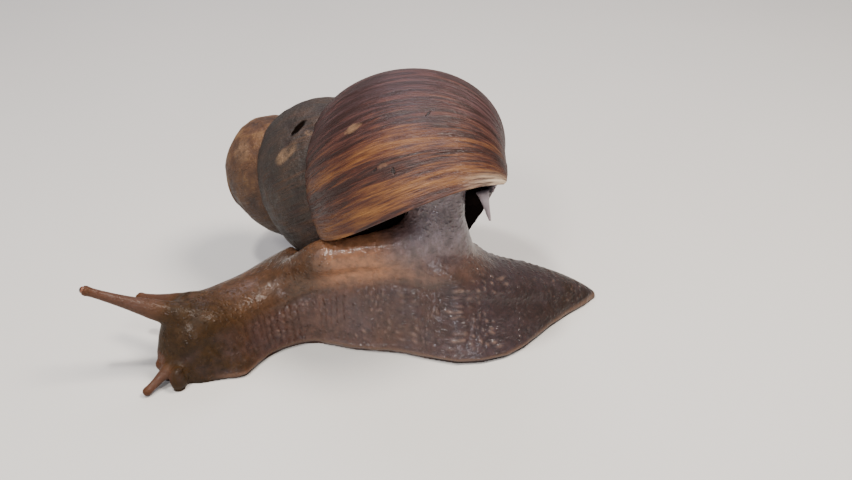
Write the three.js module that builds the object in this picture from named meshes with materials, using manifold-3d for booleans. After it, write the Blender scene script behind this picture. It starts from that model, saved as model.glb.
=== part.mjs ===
// A giant African land snail at life size, crawling to the left and turned back under its own shell.
// Millimetres, +Z up. The sole lies on Z = 0, the head points to -X and the tail to +X.
import * as THREE from 'three';
import { LoftGeometry } from 'three/addons/geometries/LoftGeometry.js';
import { mergeVertices } from 'three/addons/utils/BufferGeometryUtils.js';
import Module from 'manifold-3d';

const wasm = await Module();
wasm.setup();

const TURN = 2 * Math.PI;
const clearance = 0.3;

// ---- sizes of the shell ----
const shellReach = 110;
const growthPerTurn = 1.4155;
const vanishedApex = new THREE.Vector3(-62.3, 46.5, 19.65);
const axisYaw = THREE.MathUtils.degToRad(-31.04);
const axisPitch = THREE.MathUtils.degToRad(8.24);
const lipRoll = THREE.MathUtils.degToRad(103.7);
const whorlRadius = 0.0912;
const whorlDistance = 0.7458;
const whorlHalfWidth = 0.1652;
const whorlHalfLength = 0.2134;
const whorlTilt = -0.1017;
const whorlShoulder = 0.061;
const sutureAngle = -0.843;
const lipSlant = 0.958;
const coiledTurns = 4.25;
const stepsPerTurn = 26;
const pointsPerWhorl = 24;
const axisClearance = 0.012;
const axisSides = 20;
const shellWall = 1.5;
const mouthDepthTurns = 0.34;
const mouthOpeningTurns = 0.06;
const mantleFrontTurns = 0.075;
const wrappedWhorlTurns = { from: -1.75, to: -0.7 };
const backGapTurns = 0.02;
const frontGapTurns = 0.011;
const spikeSides = 12;

// turned outlines on the shell's axis, each point [share along the reach, share of the reach outward]
const pillarOutline = [
  [0.13, 0], [0.14, 0.03], [0.36, 0.085], [0.46, 0.11], [0.56, 0.07], [0.68, 0.022],
  [0.855, 0.019], [0.865, 0],
];
const wornTipOutline = [
  [0.247, 0], [0.249, 0.028], [0.256, 0.054], [0.27, 0.078], [0.298, 0.104], [0.5, 0.5],
  [1.1, 0.7], [1.1, 0],
];
const pillarSpike = { from: [17.5, -2.5, 35.0], to: [19.2, -4.1, 28.7], thick: 1.6, thin: 0.45 };
const lipNotch = { at: [28.0, -7.6, 35.0], radius: 9.6 };

// ---- sizes of the soft body: one row for each place along its length ----
// at: middle of the sole, near and far: half widths, lean: how far the ridge sits toward the near side,
// height: top of the back, rim: thickness of the foot's edge, back: share of the width under the ridge
const bodyPlaces = [
  { at: [-50.2, -21.4], near: 1.6, far: 1.4, lean: 0, height: 6.5, rim: 1.2, back: 0.95 },
  { at: [-49.4, -20.4], near: 5.0, far: 3.0, lean: 0, height: 10.6, rim: 1.4, back: 0.92 },
  { at: [-47.9, -18.6], near: 8.4, far: 4.8, lean: 0, height: 13.6, rim: 1.6, back: 0.84 },
  { at: [-45.2, -15.0], near: 11.6, far: 7.4, lean: 0, height: 15.6, rim: 1.9, back: 0.74 },
  { at: [-42.3, -11.8], near: 13.8, far: 8.6, lean: 0.2, height: 15.0, rim: 2.1, back: 0.64 },
  { at: [-38.6, -8.2], near: 12.2, far: 9.8, lean: 0.6, height: 13.9, rim: 2.2, back: 0.68 },
  { at: [-31.5, -2.6], near: 10.8, far: 11.4, lean: 1.6, height: 14.6, rim: 2.3, back: 0.70 },
  { at: [-22.5, 2.6], near: 12.6, far: 14.0, lean: 4.0, height: 18.7, rim: 2.3, back: 0.66 },
  { at: [-11.0, 4.6], near: 16.6, far: 16.5, lean: 8.2, height: 24.4, rim: 2.4, back: 0.62 },
  { at: [1.0, 4.6], near: 18.0, far: 17.5, lean: 8.8, height: 26.4, rim: 2.4, back: 0.60 },
  { at: [12.0, 4.2], near: 21.4, far: 17.5, lean: 7.0, height: 22.6, rim: 2.4, back: 0.56 },
  { at: [20.0, 4.8], near: 19.8, far: 16.5, lean: 4.4, height: 14.9, rim: 2.3, back: 0.54 },
  { at: [28.0, 6.6], near: 13.0, far: 13.5, lean: 1.8, height: 10.9, rim: 2.1, back: 0.58 },
  { at: [36.0, 8.6], near: 7.2, far: 8.2, lean: 0.6, height: 7.2, rim: 1.8, back: 0.64 },
  { at: [42.5, 10.2], near: 3.0, far: 3.4, lean: 0, height: 3.4, rim: 1.2, back: 0.72 },
  { at: [45.0, 10.8], near: 0.9, far: 0.9, lean: 0, height: 1.2, rim: 0.6, back: 0.80 },
];
const stepsPerPlace = 2;
const creaseShare = 0.60;

// the stretched part that climbs from the back into the mouth of the shell
const stalkPlaces = [
  { at: [7.0, 1.0, 14.0], halfWidth: 10.0, halfDepth: 8.0 },
  { at: [7.6, 0.0, 19.0], halfWidth: 8.8, halfDepth: 7.4 },
  { at: [7.4, -1.8, 24.0], halfWidth: 7.8, halfDepth: 6.6 },
  { at: [7.4, -2.6, 29.0], halfWidth: 6.5, halfDepth: 5.4 },
  { at: [8.0, -2.4, 34.0], halfWidth: 6.1, halfDepth: 4.4 },
  { at: [6.0, -1.5, 40.0], halfWidth: 9.0, halfDepth: 5.6 },
  { at: [4.0, -1.5, 46.0], halfWidth: 10.0, halfDepth: 6.0 },
];

// the shoulder of flesh that runs forward from the stalk, pressed under the shell along its lip
const shoulderPlaces = [
  { at: [-32.0, -2.6, 10.5], halfDepth: 2.0, halfHeight: 1.8 },
  { at: [-26.0, -3.8, 15.4], halfDepth: 2.9, halfHeight: 2.8 },
  { at: [-21.5, -5.2, 19.3], halfDepth: 3.8, halfHeight: 3.8 },
  { at: [-17.5, -5.7, 20.8], halfDepth: 4.4, halfHeight: 4.2 },
  { at: [-12.0, -5.7, 21.6], halfDepth: 4.5, halfHeight: 4.1 },
  { at: [-8.5, -5.6, 22.0], halfDepth: 4.6, halfHeight: 4.7 },
  { at: [-5.0, -5.4, 22.0], halfDepth: 4.8, halfHeight: 5.2 },
  { at: [-1.5, -5.2, 22.2], halfDepth: 5.0, halfHeight: 5.6 },
  { at: [2.0, -4.6, 22.6], halfDepth: 5.2, halfHeight: 6.8 },
  { at: [6.0, -3.6, 23.5], halfDepth: 5.2, halfHeight: 8.0 },
];
const shoulderSides = 11;

const stalkSides = 20;
const stalkParting = 27.4;

// the two soft lobes beside the mouth, cut off flat at the floor
const leftLobeSizes = { at: [-46.3, -25.2, 2.3], radii: [1.6, 2.0, 3.3] };
const rightLobeSizes = { at: [-49.0, -21.4, 2.3], radii: [1.6, 2.0, 3.3] };
const lobeTurn = -0.6;
const lobeSides = 11;

// ---- feelers: root and tip of each, how far it hangs, its radii, its end knob and where it is parted ----
const leftFeeler = {
  root: [-45.6, -17.4, 12.8], tip: [-64.3, -21.2, 21.7],
  sag: 0.2, thick: 3.5, thin: 0.82, knob: 1.05, parting: 0.24,
};
const rightFeeler = {
  root: [-44.6, -12.6, 12.8], tip: [-57.0, -6.6, 10.7],
  sag: 0, thick: 3.1, thin: 0.9, knob: 1.1, parting: 0.32,
};
const leftLowerFeeler = {
  root: [-47.4, -21.8, 4.6], tip: [-52.6, -27.8, 1.1],
  sag: 0.2, thick: 1.75, thin: 0.75, knob: 0.9, parting: 0.42,
};
const rightLowerFeeler = {
  root: [-49.2, -19.3, 4.4], tip: [-51.0, -21.2, 3.2],
  sag: 0, thick: 1.2, thin: 0.8, knob: 0.85, parting: 0.45,
};
const eyeRadius = 0.6;
const feelerSides = 10;
const feelerSteps = 7;
const feelerTaper = 2;
const spikeSteps = 3;
const spikeTaper = 1.4;

// ---- where the body is parted ----
const partings = [
  { at: [-37.4, -7.6], heading: [0.79, 0.62] },
  { at: [-23.6, 2.0], heading: [0.93, 0.36] },
  { at: [-5.0, 4.6], heading: [1, 0] },
  { at: [16.6, 4.4], heading: [1, 0] },
  { at: [29.0, 6.8], heading: [0.97, 0.22] },
];

// ---------------------------------------------------------------- joining and cutting
function toSolid(geometry) {
  const plain = new THREE.BufferGeometry();
  plain.setAttribute('position', geometry.getAttribute('position'));
  plain.setIndex(geometry.getIndex());
  const merged = mergeVertices(plain, 1e-5);
  const mesh = new wasm.Mesh({
    numProp: 3,
    vertProperties: new Float32Array(merged.attributes.position.array),
    triVerts: new Uint32Array(merged.index.array),
  });
  return new wasm.Manifold(mesh);
}

function toMesh(name, solid, material) {
  const data = solid.getMesh();
  const geometry = new THREE.BufferGeometry();
  geometry.setAttribute('position', new THREE.BufferAttribute(new Float32Array(data.vertProperties), 3));
  geometry.setIndex(new THREE.BufferAttribute(new Uint32Array(data.triVerts), 1));
  geometry.computeVertexNormals();
  const mesh = new THREE.Mesh(geometry, material);
  mesh.name = name;
  return mesh;
}

function joinAll(solids) {
  return solids.reduce((sum, solid) => sum.add(solid));
}

function loft(sections) {
  return toSolid(new LoftGeometry(sections, { closed: true, capStart: true, capEnd: true }));
}

// A large block filling everything ahead of a point, square to a heading.
function blockAhead(point, heading) {
  const size = 240;
  const direction = heading.clone().normalize();
  const block = new THREE.BoxGeometry(size, size, size);
  block.translate(size / 2, 0, 0);
  const turn = new THREE.Quaternion().setFromUnitVectors(new THREE.Vector3(1, 0, 0), direction);
  block.applyQuaternion(turn);
  block.translate(point.x, point.y, point.z);
  return toSolid(block);
}

// ---------------------------------------------------------------- the coiled shell
const axis = new THREE.Vector3(
  Math.cos(axisPitch) * Math.cos(axisYaw),
  Math.cos(axisPitch) * Math.sin(axisYaw),
  Math.sin(axisPitch),
);
const aboveAxis = new THREE.Vector3(0, 0, 1).addScaledVector(axis, -axis.z).normalize();
const besideAxis = new THREE.Vector3().crossVectors(axis, aboveAxis);
const lipWay = aboveAxis.clone().multiplyScalar(Math.cos(lipRoll));
lipWay.addScaledVector(besideAxis, Math.sin(lipRoll));
const coilWay = new THREE.Vector3().crossVectors(axis, lipWay);

// A point on a whorl: turn is the angle round the coil (0 at the lip), around the angle round the tube.
function whorlPoint(turn, around, grow) {
  const scale = growthPerTurn ** (turn / TURN);
  const thicker = grow / (shellReach * scale);
  const across = (whorlHalfWidth + thicker) * Math.cos(around) * (1 + whorlShoulder * Math.sin(around));
  const along = (whorlHalfLength + thicker) * Math.sin(around);
  const outward = whorlRadius + across * Math.cos(whorlTilt) - along * Math.sin(whorlTilt);
  const distance = whorlDistance + across * Math.sin(whorlTilt) + along * Math.cos(whorlTilt);
  const keptOut = Math.max(outward, axisClearance);
  const bounded = around > Math.PI ? around - TURN : around;
  const slantShare = (bounded - sutureAngle) / (Math.PI / 2 - sutureAngle);
  const angle = turn - lipSlant * THREE.MathUtils.clamp(slantShare, 0, 1.25);
  const point = vanishedApex.clone();
  point.addScaledVector(lipWay, shellReach * scale * keptOut * Math.cos(angle));
  point.addScaledVector(coilWay, shellReach * scale * keptOut * Math.sin(angle));
  point.addScaledVector(axis, shellReach * scale * distance);
  return point;
}

function tube(fromTurn, toTurn, grow) {
  const steps = Math.max(2, Math.round(((toTurn - fromTurn) / TURN) * stepsPerTurn));
  const sections = [];
  for (let step = 0; step <= steps; step += 1) {
    const turn = fromTurn + ((toTurn - fromTurn) * step) / steps;
    const section = [];
    for (let index = pointsPerWhorl; index > 0; index -= 1) {
      section.push(whorlPoint(turn, (TURN * index) / pointsPerWhorl - Math.PI, grow));
    }
    sections.push(section);
  }
  return loft(sections);
}

// The coil made of half-turn lengths, each overlapping the next so that they join into one body.
function coil(fromTurns, toTurns, grow) {
  const lengths = [];
  const overlap = TURN / stepsPerTurn;
  for (let end = toTurns * TURN; end > fromTurns * TURN + 0.01; end -= TURN / 2) {
    const start = Math.max(end - TURN / 2, fromTurns * TURN);
    lengths.push(tube(start - overlap, end, grow));
  }
  return joinAll(lengths);
}

// A turned body round the shell's axis: share along the reach against share of the reach outward.
function turnedOnAxis(outline, grow) {
  const points = outline.map(([along, outward]) => {
    const radius = outward === 0 ? 0 : outward * shellReach + grow;
    return new THREE.Vector2(radius, along * shellReach);
  });
  const body = new THREE.LatheGeometry(points, axisSides);
  const turn = new THREE.Quaternion().setFromUnitVectors(new THREE.Vector3(0, 1, 0), axis);
  body.applyQuaternion(turn);
  body.translate(vanishedApex.x, vanishedApex.y, vanishedApex.z);
  return toSolid(body);
}

function shellEnvelope(grow) {
  return coil(-coiledTurns, 0, grow)
    .add(turnedOnAxis(pillarOutline, grow))
    .intersect(turnedOnAxis(wornTipOutline, grow));
}

// The hollow behind the lip: the last stretch of the tube, less the whorl it wraps round.
function hollow(fromTurns, toTurns, grow, wrapGrow) {
  const bore = tube(fromTurns * TURN, toTurns * TURN, grow);
  const wrapped = coil(wrappedWhorlTurns.from, wrappedWhorlTurns.to, wrapGrow);
  const pillar = turnedOnAxis(pillarOutline, wrapGrow);
  return bore.subtract(wrapped).subtract(pillar);
}

function taperedRod(from, to, fromRadius, toRadius, sag, sides, steps, taper) {
  const direction = to.clone().sub(from).normalize();
  const sideways = new THREE.Vector3(0, 0, 1).cross(direction).normalize();
  const upward = new THREE.Vector3().crossVectors(direction, sideways);
  const sections = [];
  for (let step = 0; step <= steps; step += 1) {
    const share = step / steps;
    const middle = from.clone().lerp(to, share);
    middle.z -= sag * 4 * share * (1 - share);
    const radius = toRadius + (fromRadius - toRadius) * (1 - share) ** taper;
    const section = [];
    for (let index = 0; index < sides; index += 1) {
      const angle = (TURN * index) / sides;
      const point = middle.clone();
      point.addScaledVector(sideways, radius * Math.cos(angle));
      point.addScaledVector(upward, radius * Math.sin(angle));
      section.push(point);
    }
    sections.push(section);
  }
  return loft(sections);
}

function roundBody(center, radii, heading, sides = 10) {
  const ball = new THREE.SphereGeometry(1, sides, Math.round(0.7 * sides));
  ball.scale(radii[0], radii[1], radii[2]);
  ball.rotateZ(heading);
  ball.translate(center[0], center[1], center[2]);
  return toSolid(ball);
}

// The pointed lower end of the shell's pillar shows under the lip.
function pillarEnd(grow) {
  const from = new THREE.Vector3(...pillarSpike.from);
  const to = new THREE.Vector3(...pillarSpike.to);
  const thick = pillarSpike.thick + grow;
  const thin = pillarSpike.thin + grow;
  return taperedRod(from, to, thick, thin, 0, spikeSides, spikeSteps, spikeTaper);
}

// The base of the mouth is open past the pillar's end, so the lip stops in a rounded notch there.
const baseNotch = roundBody(lipNotch.at, Array(3).fill(lipNotch.radius), 0, axisSides);
const shell = shellEnvelope(0)
  .subtract(baseNotch)
  .subtract(hollow(-mouthDepthTurns, mouthOpeningTurns, -shellWall, 0))
  .add(pillarEnd(0));

const mantle = hollow(-mouthDepthTurns + backGapTurns, -mantleFrontTurns, -shellWall - clearance, clearance)
  .subtract(pillarEnd(clearance));

// ---------------------------------------------------------------- the soft body
function curveOf(values) {
  const points = values.map((value) => new THREE.Vector3(value[0], value[1], value[2]));
  return new THREE.CatmullRomCurve3(points, false, 'centripetal');
}

function curvePoint(curve, index, count) {
  return curve.getPoint(index / (count - 1));
}

function bodySection(middle, tangent, near, far, height, rim, back, lean) {
  const left = new THREE.Vector3(tangent.y, -tangent.x, 0).normalize();
  const crease = creaseShare * height;
  const tuck = 0.35 * rim;
  const half = (side) => (side < 0 ? far + lean : near - lean);
  const outline = [];
  const place = (side, out, up) => outline.push([lean + side * out, up]);
  const climb = (side) => [
    [half(side), 0.5 * rim],
    [half(side) - tuck, rim],
    [half(side) * (0.52 + 0.48 * back), THREE.MathUtils.lerp(rim, crease, 0.42)],
    [half(side) * back, crease],
  ];
  climb(-1).forEach(([out, up]) => place(-1, out, up));
  for (let degrees = 24; degrees < 180; degrees += 22) {
    const angle = THREE.MathUtils.degToRad(degrees);
    const side = Math.cos(angle) > 0 ? -1 : 1;
    const out = half(side) * back * Math.abs(Math.cos(angle)) ** 0.9;
    place(side, out, crease + (height - crease) * Math.sin(angle) ** 0.9);
  }
  climb(1).reverse().forEach(([out, up]) => place(1, out, up));
  [0.98, 0.5].forEach((share) => place(1, (half(1) - tuck) * share, 0));
  [0, 0.5, 0.98].forEach((share) => place(-1, (half(-1) - tuck) * share, 0));
  return outline.map(([across, up]) => {
    const point = middle.clone().addScaledVector(left, across);
    point.z = up;
    return point;
  });
}

function bodyLoft() {
  const count = bodyPlaces.length;
  const path = curveOf(bodyPlaces.map((place) => [place.at[0], place.at[1], 0]));
  const widths = curveOf(bodyPlaces.map((place) => [place.near, place.far, place.height]));
  const shapes = curveOf(bodyPlaces.map((place) => [place.rim, place.back, place.lean]));
  const sections = [];
  const last = (count - 1) * stepsPerPlace;
  for (let step = 0; step <= last; step += 1) {
    const share = step / stepsPerPlace;
    const ahead = curvePoint(path, Math.min(share + 0.5, count - 1), count);
    const behind = curvePoint(path, Math.max(share - 0.5, 0), count);
    const width = curvePoint(widths, share, count);
    const shape = curvePoint(shapes, share, count);
    const middle = curvePoint(path, share, count);
    const tangent = ahead.sub(behind);
    sections.push(
      bodySection(middle, tangent, width.x, width.y, width.z, shape.x, shape.y, shape.z),
    );
  }
  return loft(sections);
}

function stalkLoft() {
  const sides = stalkSides;
  const sections = stalkPlaces.map((place) => {
    const section = [];
    for (let index = 0; index < sides; index += 1) {
      const angle = (TURN * index) / sides;
      section.push(new THREE.Vector3(
        place.at[0] + place.halfWidth * Math.cos(angle),
        place.at[1] + place.halfDepth * Math.sin(angle),
        place.at[2],
      ));
    }
    return section;
  });
  return loft(sections);
}

function shoulderLoft() {
  const sections = shoulderPlaces.map((place) => {
    const section = [];
    for (let index = 0; index < shoulderSides; index += 1) {
      const angle = (TURN * index) / shoulderSides;
      section.push(new THREE.Vector3(
        place.at[0],
        place.at[1] + place.halfDepth * Math.cos(angle),
        place.at[2] + place.halfHeight * Math.sin(angle),
      ));
    }
    return section;
  });
  return loft(sections);
}

const shellRoom = shellEnvelope(clearance)
  .subtract(hollow(-mouthDepthTurns, 2 * mouthOpeningTurns, -shellWall - clearance, clearance));
const mantleRoom = tube(
  (-mouthDepthTurns - backGapTurns) * TURN,
  (-mantleFrontTurns + frontGapTurns) * TURN,
  -shellWall + clearance / 2,
);
const flesh = bodyLoft()
  .add(stalkLoft())
  .add(shoulderLoft())
  .subtract(shellRoom.add(pillarEnd(clearance)))
  .subtract(mantleRoom);

const up = new THREE.Vector3(0, 0, 1);
const stalkFoot = new THREE.Vector3(0, 0, stalkParting);
const stalk = flesh.intersect(blockAhead(stalkFoot.clone().addScaledVector(up, clearance / 2), up));
const trunk = flesh.intersect(
  blockAhead(stalkFoot.clone().addScaledVector(up, -clearance / 2), up.clone().negate()),
);

function lengthOfTrunk(before, after) {
  let piece = trunk;
  if (before) {
    const heading = new THREE.Vector3(before.heading[0], before.heading[1], 0).normalize();
    const start = new THREE.Vector3(before.at[0], before.at[1], 0).addScaledVector(heading, clearance / 2);
    piece = piece.intersect(blockAhead(start, heading));
  }
  if (after) {
    const heading = new THREE.Vector3(after.heading[0], after.heading[1], 0).normalize();
    const end = new THREE.Vector3(after.at[0], after.at[1], 0).addScaledVector(heading, -clearance / 2);
    piece = piece.intersect(blockAhead(end, heading.negate()));
  }
  return piece;
}

// ---------------------------------------------------------------- feelers and eyes
function feelerRod(sizes, grow) {
  const root = new THREE.Vector3(...sizes.root);
  const tip = new THREE.Vector3(...sizes.tip);
  const thick = sizes.thick + grow;
  const thin = sizes.thin + grow;
  const knob = roundBody(sizes.tip, Array(3).fill(sizes.knob + grow), 0);
  const rod = taperedRod(root, tip, thick, thin, sizes.sag, feelerSides, feelerSteps, feelerTaper);
  return rod.add(knob);
}

function feeler(sizes, hasEye) {
  const root = new THREE.Vector3(...sizes.root);
  const tip = new THREE.Vector3(...sizes.tip);
  const direction = tip.clone().sub(root).normalize();
  const eyePlace = tip.clone().addScaledVector(direction, sizes.knob * 0.6);
  let rod = feelerRod(sizes, 0);
  if (hasEye) {
    rod = rod.subtract(roundBody(eyePlace.toArray(), Array(3).fill(eyeRadius + clearance), 0));
  }
  const partPlace = root.clone().lerp(tip, sizes.parting);
  const outerStart = partPlace.clone().addScaledVector(direction, clearance / 2);
  const stubEnd = partPlace.clone().addScaledVector(direction, -clearance / 2);
  const outer = rod.intersect(blockAhead(outerStart, direction));
  const stub = rod.intersect(blockAhead(stubEnd, direction.clone().negate()));
  const wider = feelerRod(sizes, clearance);
  const room = wider.intersect(blockAhead(partPlace, direction));
  return { outer, stub, eyePlace, room };
}

const leftEyeFeeler = feeler(leftFeeler, true);
const rightEyeFeeler = feeler(rightFeeler, true);
const leftLower = feeler(leftLowerFeeler, false);
const rightLower = feeler(rightLowerFeeler, false);
const leftLobe = roundBody(leftLobeSizes.at, leftLobeSizes.radii, lobeTurn, lobeSides);
const rightLobe = roundBody(rightLobeSizes.at, rightLobeSizes.radii, lobeTurn, lobeSides);
const feelers = [leftEyeFeeler, rightEyeFeeler, leftLower, rightLower];
const lobes = leftLobe.add(rightLobe).intersect(blockAhead(new THREE.Vector3(), up));
const face = lengthOfTrunk(null, partings[0]).add(lobes);
const faceWithRoom = feelers.reduce((sum, each) => sum.subtract(each.room), face);
const head = joinAll([faceWithRoom, ...feelers.map((each) => each.stub)]);

// ---------------------------------------------------------------- materials and the finished model
function material(name, color, roughness) {
  return new THREE.MeshStandardMaterial({ name, color, roughness });
}

const shellMaterial = material('streaked_shell', '#7a4327', 0.35);
const fleshMaterial = material('wet_flesh', '#6b4630', 0.4);
const feelerMaterial = material('feeler_flesh', '#7d5a45', 0.4);
const mantleMaterial = material('mantle_flesh', '#8a7466', 0.4);
const eyeMaterial = material('dark_eye', '#141010', 0.15);

function eyeBall(name, place) {
  const ball = new THREE.Mesh(new THREE.SphereGeometry(eyeRadius, 10, 8), eyeMaterial);
  ball.name = name;
  ball.position.copy(place);
  return ball;
}

const foot = new THREE.Group();
foot.add(toMesh('neck', lengthOfTrunk(partings[0], partings[1]), fleshMaterial));
foot.add(toMesh('foot_front', lengthOfTrunk(partings[1], partings[2]), fleshMaterial));
foot.add(toMesh('foot_middle', lengthOfTrunk(partings[2], partings[3]), fleshMaterial));
foot.add(toMesh('foot_rear', lengthOfTrunk(partings[3], partings[4]), fleshMaterial));
foot.add(toMesh('tail', lengthOfTrunk(partings[4], null), fleshMaterial));

const headAndFeelers = new THREE.Group();
headAndFeelers.add(toMesh('head', head, fleshMaterial));
headAndFeelers.add(toMesh('left_eye_tentacle', leftEyeFeeler.outer, feelerMaterial));
headAndFeelers.add(toMesh('right_eye_tentacle', rightEyeFeeler.outer, feelerMaterial));
headAndFeelers.add(toMesh('left_lower_tentacle', leftLower.outer, feelerMaterial));
headAndFeelers.add(toMesh('right_lower_tentacle', rightLower.outer, feelerMaterial));
headAndFeelers.add(eyeBall('left_eye', leftEyeFeeler.eyePlace));
headAndFeelers.add(eyeBall('right_eye', rightEyeFeeler.eyePlace));

const shellAndMantle = new THREE.Group();
shellAndMantle.add(toMesh('shell', shell, shellMaterial));
shellAndMantle.add(toMesh('mantle_collar', mantle, mantleMaterial));
shellAndMantle.add(toMesh('stalk', stalk, fleshMaterial));

const snail = new THREE.Group();
snail.add(foot);
snail.add(headAndFeelers);
snail.add(shellAndMantle);

export default snail;
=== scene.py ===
"""A giant African land snail at life size, crawling with its shell carried on its back.

One skin stands for the parted soft solids, and the shell, the mantle collar and the
eyes are pieces of their own. Everything rides on the still part's one body.
"""

import math

import bmesh
import bpy
import numpy as np
from mathutils import Matrix, Vector, noise


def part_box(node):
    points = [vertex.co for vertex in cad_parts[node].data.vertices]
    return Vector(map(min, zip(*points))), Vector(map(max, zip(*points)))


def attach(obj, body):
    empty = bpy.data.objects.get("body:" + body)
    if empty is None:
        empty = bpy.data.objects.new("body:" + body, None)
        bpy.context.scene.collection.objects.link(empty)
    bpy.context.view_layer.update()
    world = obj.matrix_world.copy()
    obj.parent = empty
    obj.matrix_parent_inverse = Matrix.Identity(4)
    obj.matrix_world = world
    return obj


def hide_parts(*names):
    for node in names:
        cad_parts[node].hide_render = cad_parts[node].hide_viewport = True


bl_info = {
    "name": "Giant land snail",
    "version": (1, 0, 0),
    "blender": (4, 5, 0),
    "location": "View3D > Sidebar > Snail",
    "description": "Builds a life-size giant land snail around its packed solids",
    "category": "Add Mesh",
}

MM = 0.001
TURN = 2 * math.pi
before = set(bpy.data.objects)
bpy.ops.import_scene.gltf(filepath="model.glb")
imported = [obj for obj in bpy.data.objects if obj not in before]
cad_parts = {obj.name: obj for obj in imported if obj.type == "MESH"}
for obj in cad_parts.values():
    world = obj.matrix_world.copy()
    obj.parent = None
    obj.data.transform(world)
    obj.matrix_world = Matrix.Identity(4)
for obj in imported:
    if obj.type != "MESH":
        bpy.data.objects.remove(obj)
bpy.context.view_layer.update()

FLESH_NODES = (
    "stalk",
    "head",
    "neck",
    "foot_front",
    "foot_middle",
    "foot_rear",
    "tail",
    "left_eye_tentacle",
    "right_eye_tentacle",
    "left_lower_tentacle",
    "right_lower_tentacle",
)

# ---- the shell's coil, as shares of its reach ----
GROWTH_PER_TURN = 1.4155
APEX = np.array((-62.3, 46.5, 19.65))
AXIS_YAW, AXIS_PITCH, LIP_ROLL = (math.radians(a) for a in (-31.04, 8.24, 103.7))
WHORL_RADIUS, WHORL_DISTANCE = 0.0912, 0.7458
WHORL_HALF_WIDTH, WHORL_HALF_LENGTH = 0.1652, 0.2134
WHORL_TILT, WHORL_SHOULDER = -0.1017, 0.061
SUTURE_ANGLE, LIP_SLANT = -0.843, 0.958
AXIS_CLEARANCE = 0.012
OLDEST_TURN, DEEPEST_TURN = -3.5, -0.42
# angles round the tube from the seam on, and how closely points lie in each stretch
TUBE_ANGLES, TUBE_DENSITY = (-2.2, -1.1, 2.1, 4.083), (0.42, 1.0, 0.42)
LIP_NOTCH_AT, LIP_NOTCH_RADIUS = np.array((28.0, -7.6, 35.0)), 9.6
NOTCH_REACH = 0.3
DOME_HEART = 0.42
# marks on the shell: kind, turn, angle round the tube, half length, half width, tilt
MARKS = (
    ("hole", -1.139, 0.10, 2.0, 0.95, -0.57),
    ("pale", -1.092, 0.0, 1.7, 3.0, 0.3),
    ("pale", -1.118, 0.30, 1.4, 0.6, 1.0),
    ("pale", -1.20, 0.55, 2.6, 1.4, 0.4),
    ("pale", -0.126, -0.05, 0.9, 2.0, 0.0),
    ("pale", -0.060, 0.33, 0.5, 1.1, 0.0),
    ("pale", -2.106, -0.09, 3.6, 2.2, 0.6),
    ("pit", -0.059, 0.26, 0.35, 0.45, 0.4),
    ("pit", -0.049, 0.43, 0.75, 0.32, 0.3),
    ("pit", -0.121, 0.645, 0.8, 0.28, -0.6),
)
DOME_OUTLINE = (
    (0.247, 0.0),
    (0.2475, 0.014),
    (0.249, 0.028),
    (0.252, 0.042),
    (0.256, 0.054),
    (0.262, 0.067),
    (0.27, 0.078),
    (0.283, 0.092),
    (0.298, 0.106),
    (0.35, 0.21),
    (0.42, 0.34),
)
PILLAR_OUTLINE = (
    (0.30, 0.0),
    (0.36, 0.07),
    (0.46, 0.1),
    (0.56, 0.07),
    (0.62, 0.042),
    (0.68, 0.024),
    (0.76, 0.021),
    (0.84, 0.02),
    (0.858, 0.014),
    (0.864, 0.0),
)
SPIKE_FROM, SPIKE_TO = Vector((17.5, -2.5, 35.0)), Vector((19.2, -4.1, 28.6))
SPIKE_RADIUS, SPIKE_TIP_RADIUS = 1.55, 0.25
# millimetres of the last whorl in one turn, in a radian round the tube and in a radian of the lip
TURN_RUN, TUBE_RUN, LIP_RUN = 177, 26, 26
# how far the borders of the marks stray, in millimetres
FRAY = 1.6
# lines in millimetres behind which the mouth is painted dark as shade, and how far from them the
# painted shade reaches
MOUTH_SHADE = (
    ((-12, -3.5, 26), (15, -1.5, 33)),
    ((15, -1, 33), (16.5, 8, 23)),
    ((15, 4, 30), (17, 10, 20)),
)
SHADE_CORE, SHADE_EDGE = 3.6, 6.0

# ---- the body's places: middle of the sole, near and far half widths, ridge height ----
BODY_PLACES = np.array(
    (
        (-50.2, -21.4, 1.6, 1.4, 6.5),
        (-49.4, -20.4, 5.0, 3.0, 10.6),
        (-47.9, -18.6, 8.4, 4.8, 13.6),
        (-45.2, -15.0, 11.6, 7.4, 15.6),
        (-42.3, -11.8, 13.8, 8.6, 15.0),
        (-38.6, -8.2, 12.2, 9.8, 13.9),
        (-31.5, -2.6, 10.8, 11.4, 14.6),
        (-22.5, 2.6, 12.6, 14.0, 18.7),
        (-11.0, 4.6, 16.6, 16.5, 24.4),
        (1.0, 4.6, 18.0, 17.5, 26.4),
        (12.0, 4.2, 21.4, 17.5, 22.6),
        (20.0, 4.8, 19.8, 16.5, 14.9),
        (28.0, 6.6, 13.0, 13.5, 10.9),
        (36.0, 8.6, 7.2, 8.2, 7.2),
        (42.5, 10.2, 3.0, 3.4, 3.4),
        (45.0, 10.8, 0.9, 0.9, 1.2),
    )
)
BODY_RUN = 105.0
BEND_SOFTNESS = 0.5
STALK_FOOT, STALK_TOP = 18.0, 26.0
SHOULDER_START = np.array((-27.0, -4.5, 17.5))
# how far the skin is let out over its solids, and its relaxing at one grain, in millimetres
LET_OUT, RELAX_ROUNDS, RELAX_GRAIN = 0.24, 46, 0.34
SKIN_SEED = 7

# how far red, green and blue light sinks into flesh, as shares of a depth in millimetres
BLOOD_DEPTHS, FLESH_DEPTH = (1.0, 0.5, 0.3), 1.2

# root and tip of each feeler
FEELERS = {
    "left": ((-45.6, -17.4, 12.8), (-64.3, -21.2, 21.7)),
    "right": ((-44.6, -12.6, 12.8), (-57.0, -6.6, 10.7)),
    "left_lower": ((-47.4, -21.8, 4.6), (-52.6, -27.8, 1.1)),
    "right_lower": ((-49.2, -19.3, 4.4), (-51.0, -21.2, 3.2)),
}


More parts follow.
